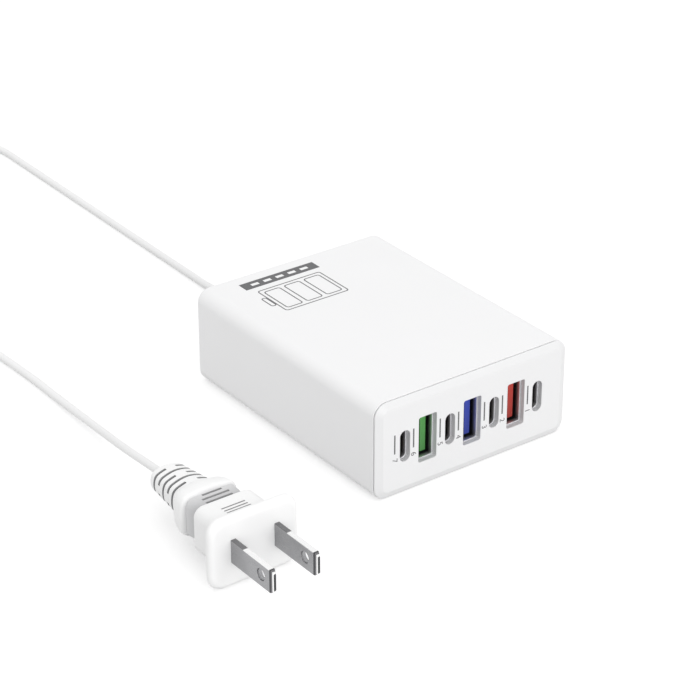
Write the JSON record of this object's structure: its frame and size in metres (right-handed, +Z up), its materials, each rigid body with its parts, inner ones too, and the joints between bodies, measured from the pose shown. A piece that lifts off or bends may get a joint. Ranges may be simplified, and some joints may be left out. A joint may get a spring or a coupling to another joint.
{
  "type": "multi-port usb charger",
  "caption": "Box-shaped desktop charger with a row of upright sockets in its front panel, a mains lead tied in a coil and a two-pin moulded plug.",
  "frame": {"origin": "middle of the underside of the case", "axes": "+Z up, the sockets face -Y, +X to the right along their row as seen from the front"},
  "size_m": [0.1197, 0.3098, 0.028],
  "materials": {
    "case_white": "satin",
    "panel_white": "satin",
    "port_steel": "satin",
    "tongue_red": "matt",
    "tongue_blue": "matt",
    "tongue_green": "matt",
    "tongue_dark": "matt",
    "contact_metal": "plated",
    "board": "solder mask",
    "dark_moulding": "matt",
    "ferrite": "matt",
    "sink_metal": "sheet",
    "bobbin": "matt",
    "winding_tape": "tape",
    "copper_wire": "enamelled",
    "can_sleeve": "shrink sleeve",
    "film_yellow": "matt",
    "disc_blue": "gloss",
    "fuse_brown": "matt",
    "wire_brown": "matt",
    "wire_blue": "matt",
    "cord_white": "satin",
    "plug_white": "satin",
    "tie_white": "matt",
    "blade_metal": "plated"
  },
  "bodies": {
    "root": {"housing": "case_white", "front_panel": "panel_white", "usb_a_shell_1": "port_steel", "usb_a_tongue_1": "tongue_red", "usb_a_contacts_1": "contact_metal", "usb_a_shell_2": "port_steel", "usb_a_tongue_2": "tongue_blue", "usb_a_contacts_2": "contact_metal", "usb_a_shell_3": "port_steel", "usb_a_tongue_3": "tongue_green", "usb_a_contacts_3": "contact_metal", "usb_c_shell_1": "port_steel", "usb_c_tongue_1": "tongue_dark", "usb_c_contacts_1": "contact_metal", "usb_c_shell_2": "port_steel", "usb_c_tongue_2": "tongue_dark", "usb_c_contacts_2": "contact_metal", "usb_c_shell_3": "port_steel", "usb_c_tongue_3": "tongue_dark", "usb_c_contacts_3": "contact_metal", "usb_c_shell_4": "port_steel", "usb_c_tongue_4": "tongue_dark", "usb_c_contacts_4": "contact_metal", "port_board": "board", "main_board": "board", "board_link": "dark_moulding", "port_inductors": "ferrite", "port_controllers": "dark_moulding", "output_capacitors": "can_sleeve", "heat_sinks": "sink_metal", "power_transistors": "dark_moulding", "transformer_core": "ferrite", "transformer_bobbin": "bobbin", "transformer_winding": "winding_tape", "bulk_capacitors": "can_sleeve", "film_capacitor": "film_yellow", "bridge_rectifier": "dark_moulding", "fuse": "fuse_brown", "safety_capacitor": "disc_blue", "optocoupler": "dark_moulding", "choke_core": "ferrite", "choke_windings": "copper_wire", "live_wire": "wire_brown", "neutral_wire": "wire_blue", "cord_bush": "plug_white", "cord_lead_out": "cord_white", "cord_coil": "cord_white", "cord_tie": "tie_white", "cord_lead_in": "cord_white", "plug_body": "plug_white", "plug_blade_left": "blade_metal", "plug_blade_right": "blade_metal"}
  },
  "joints": []
}
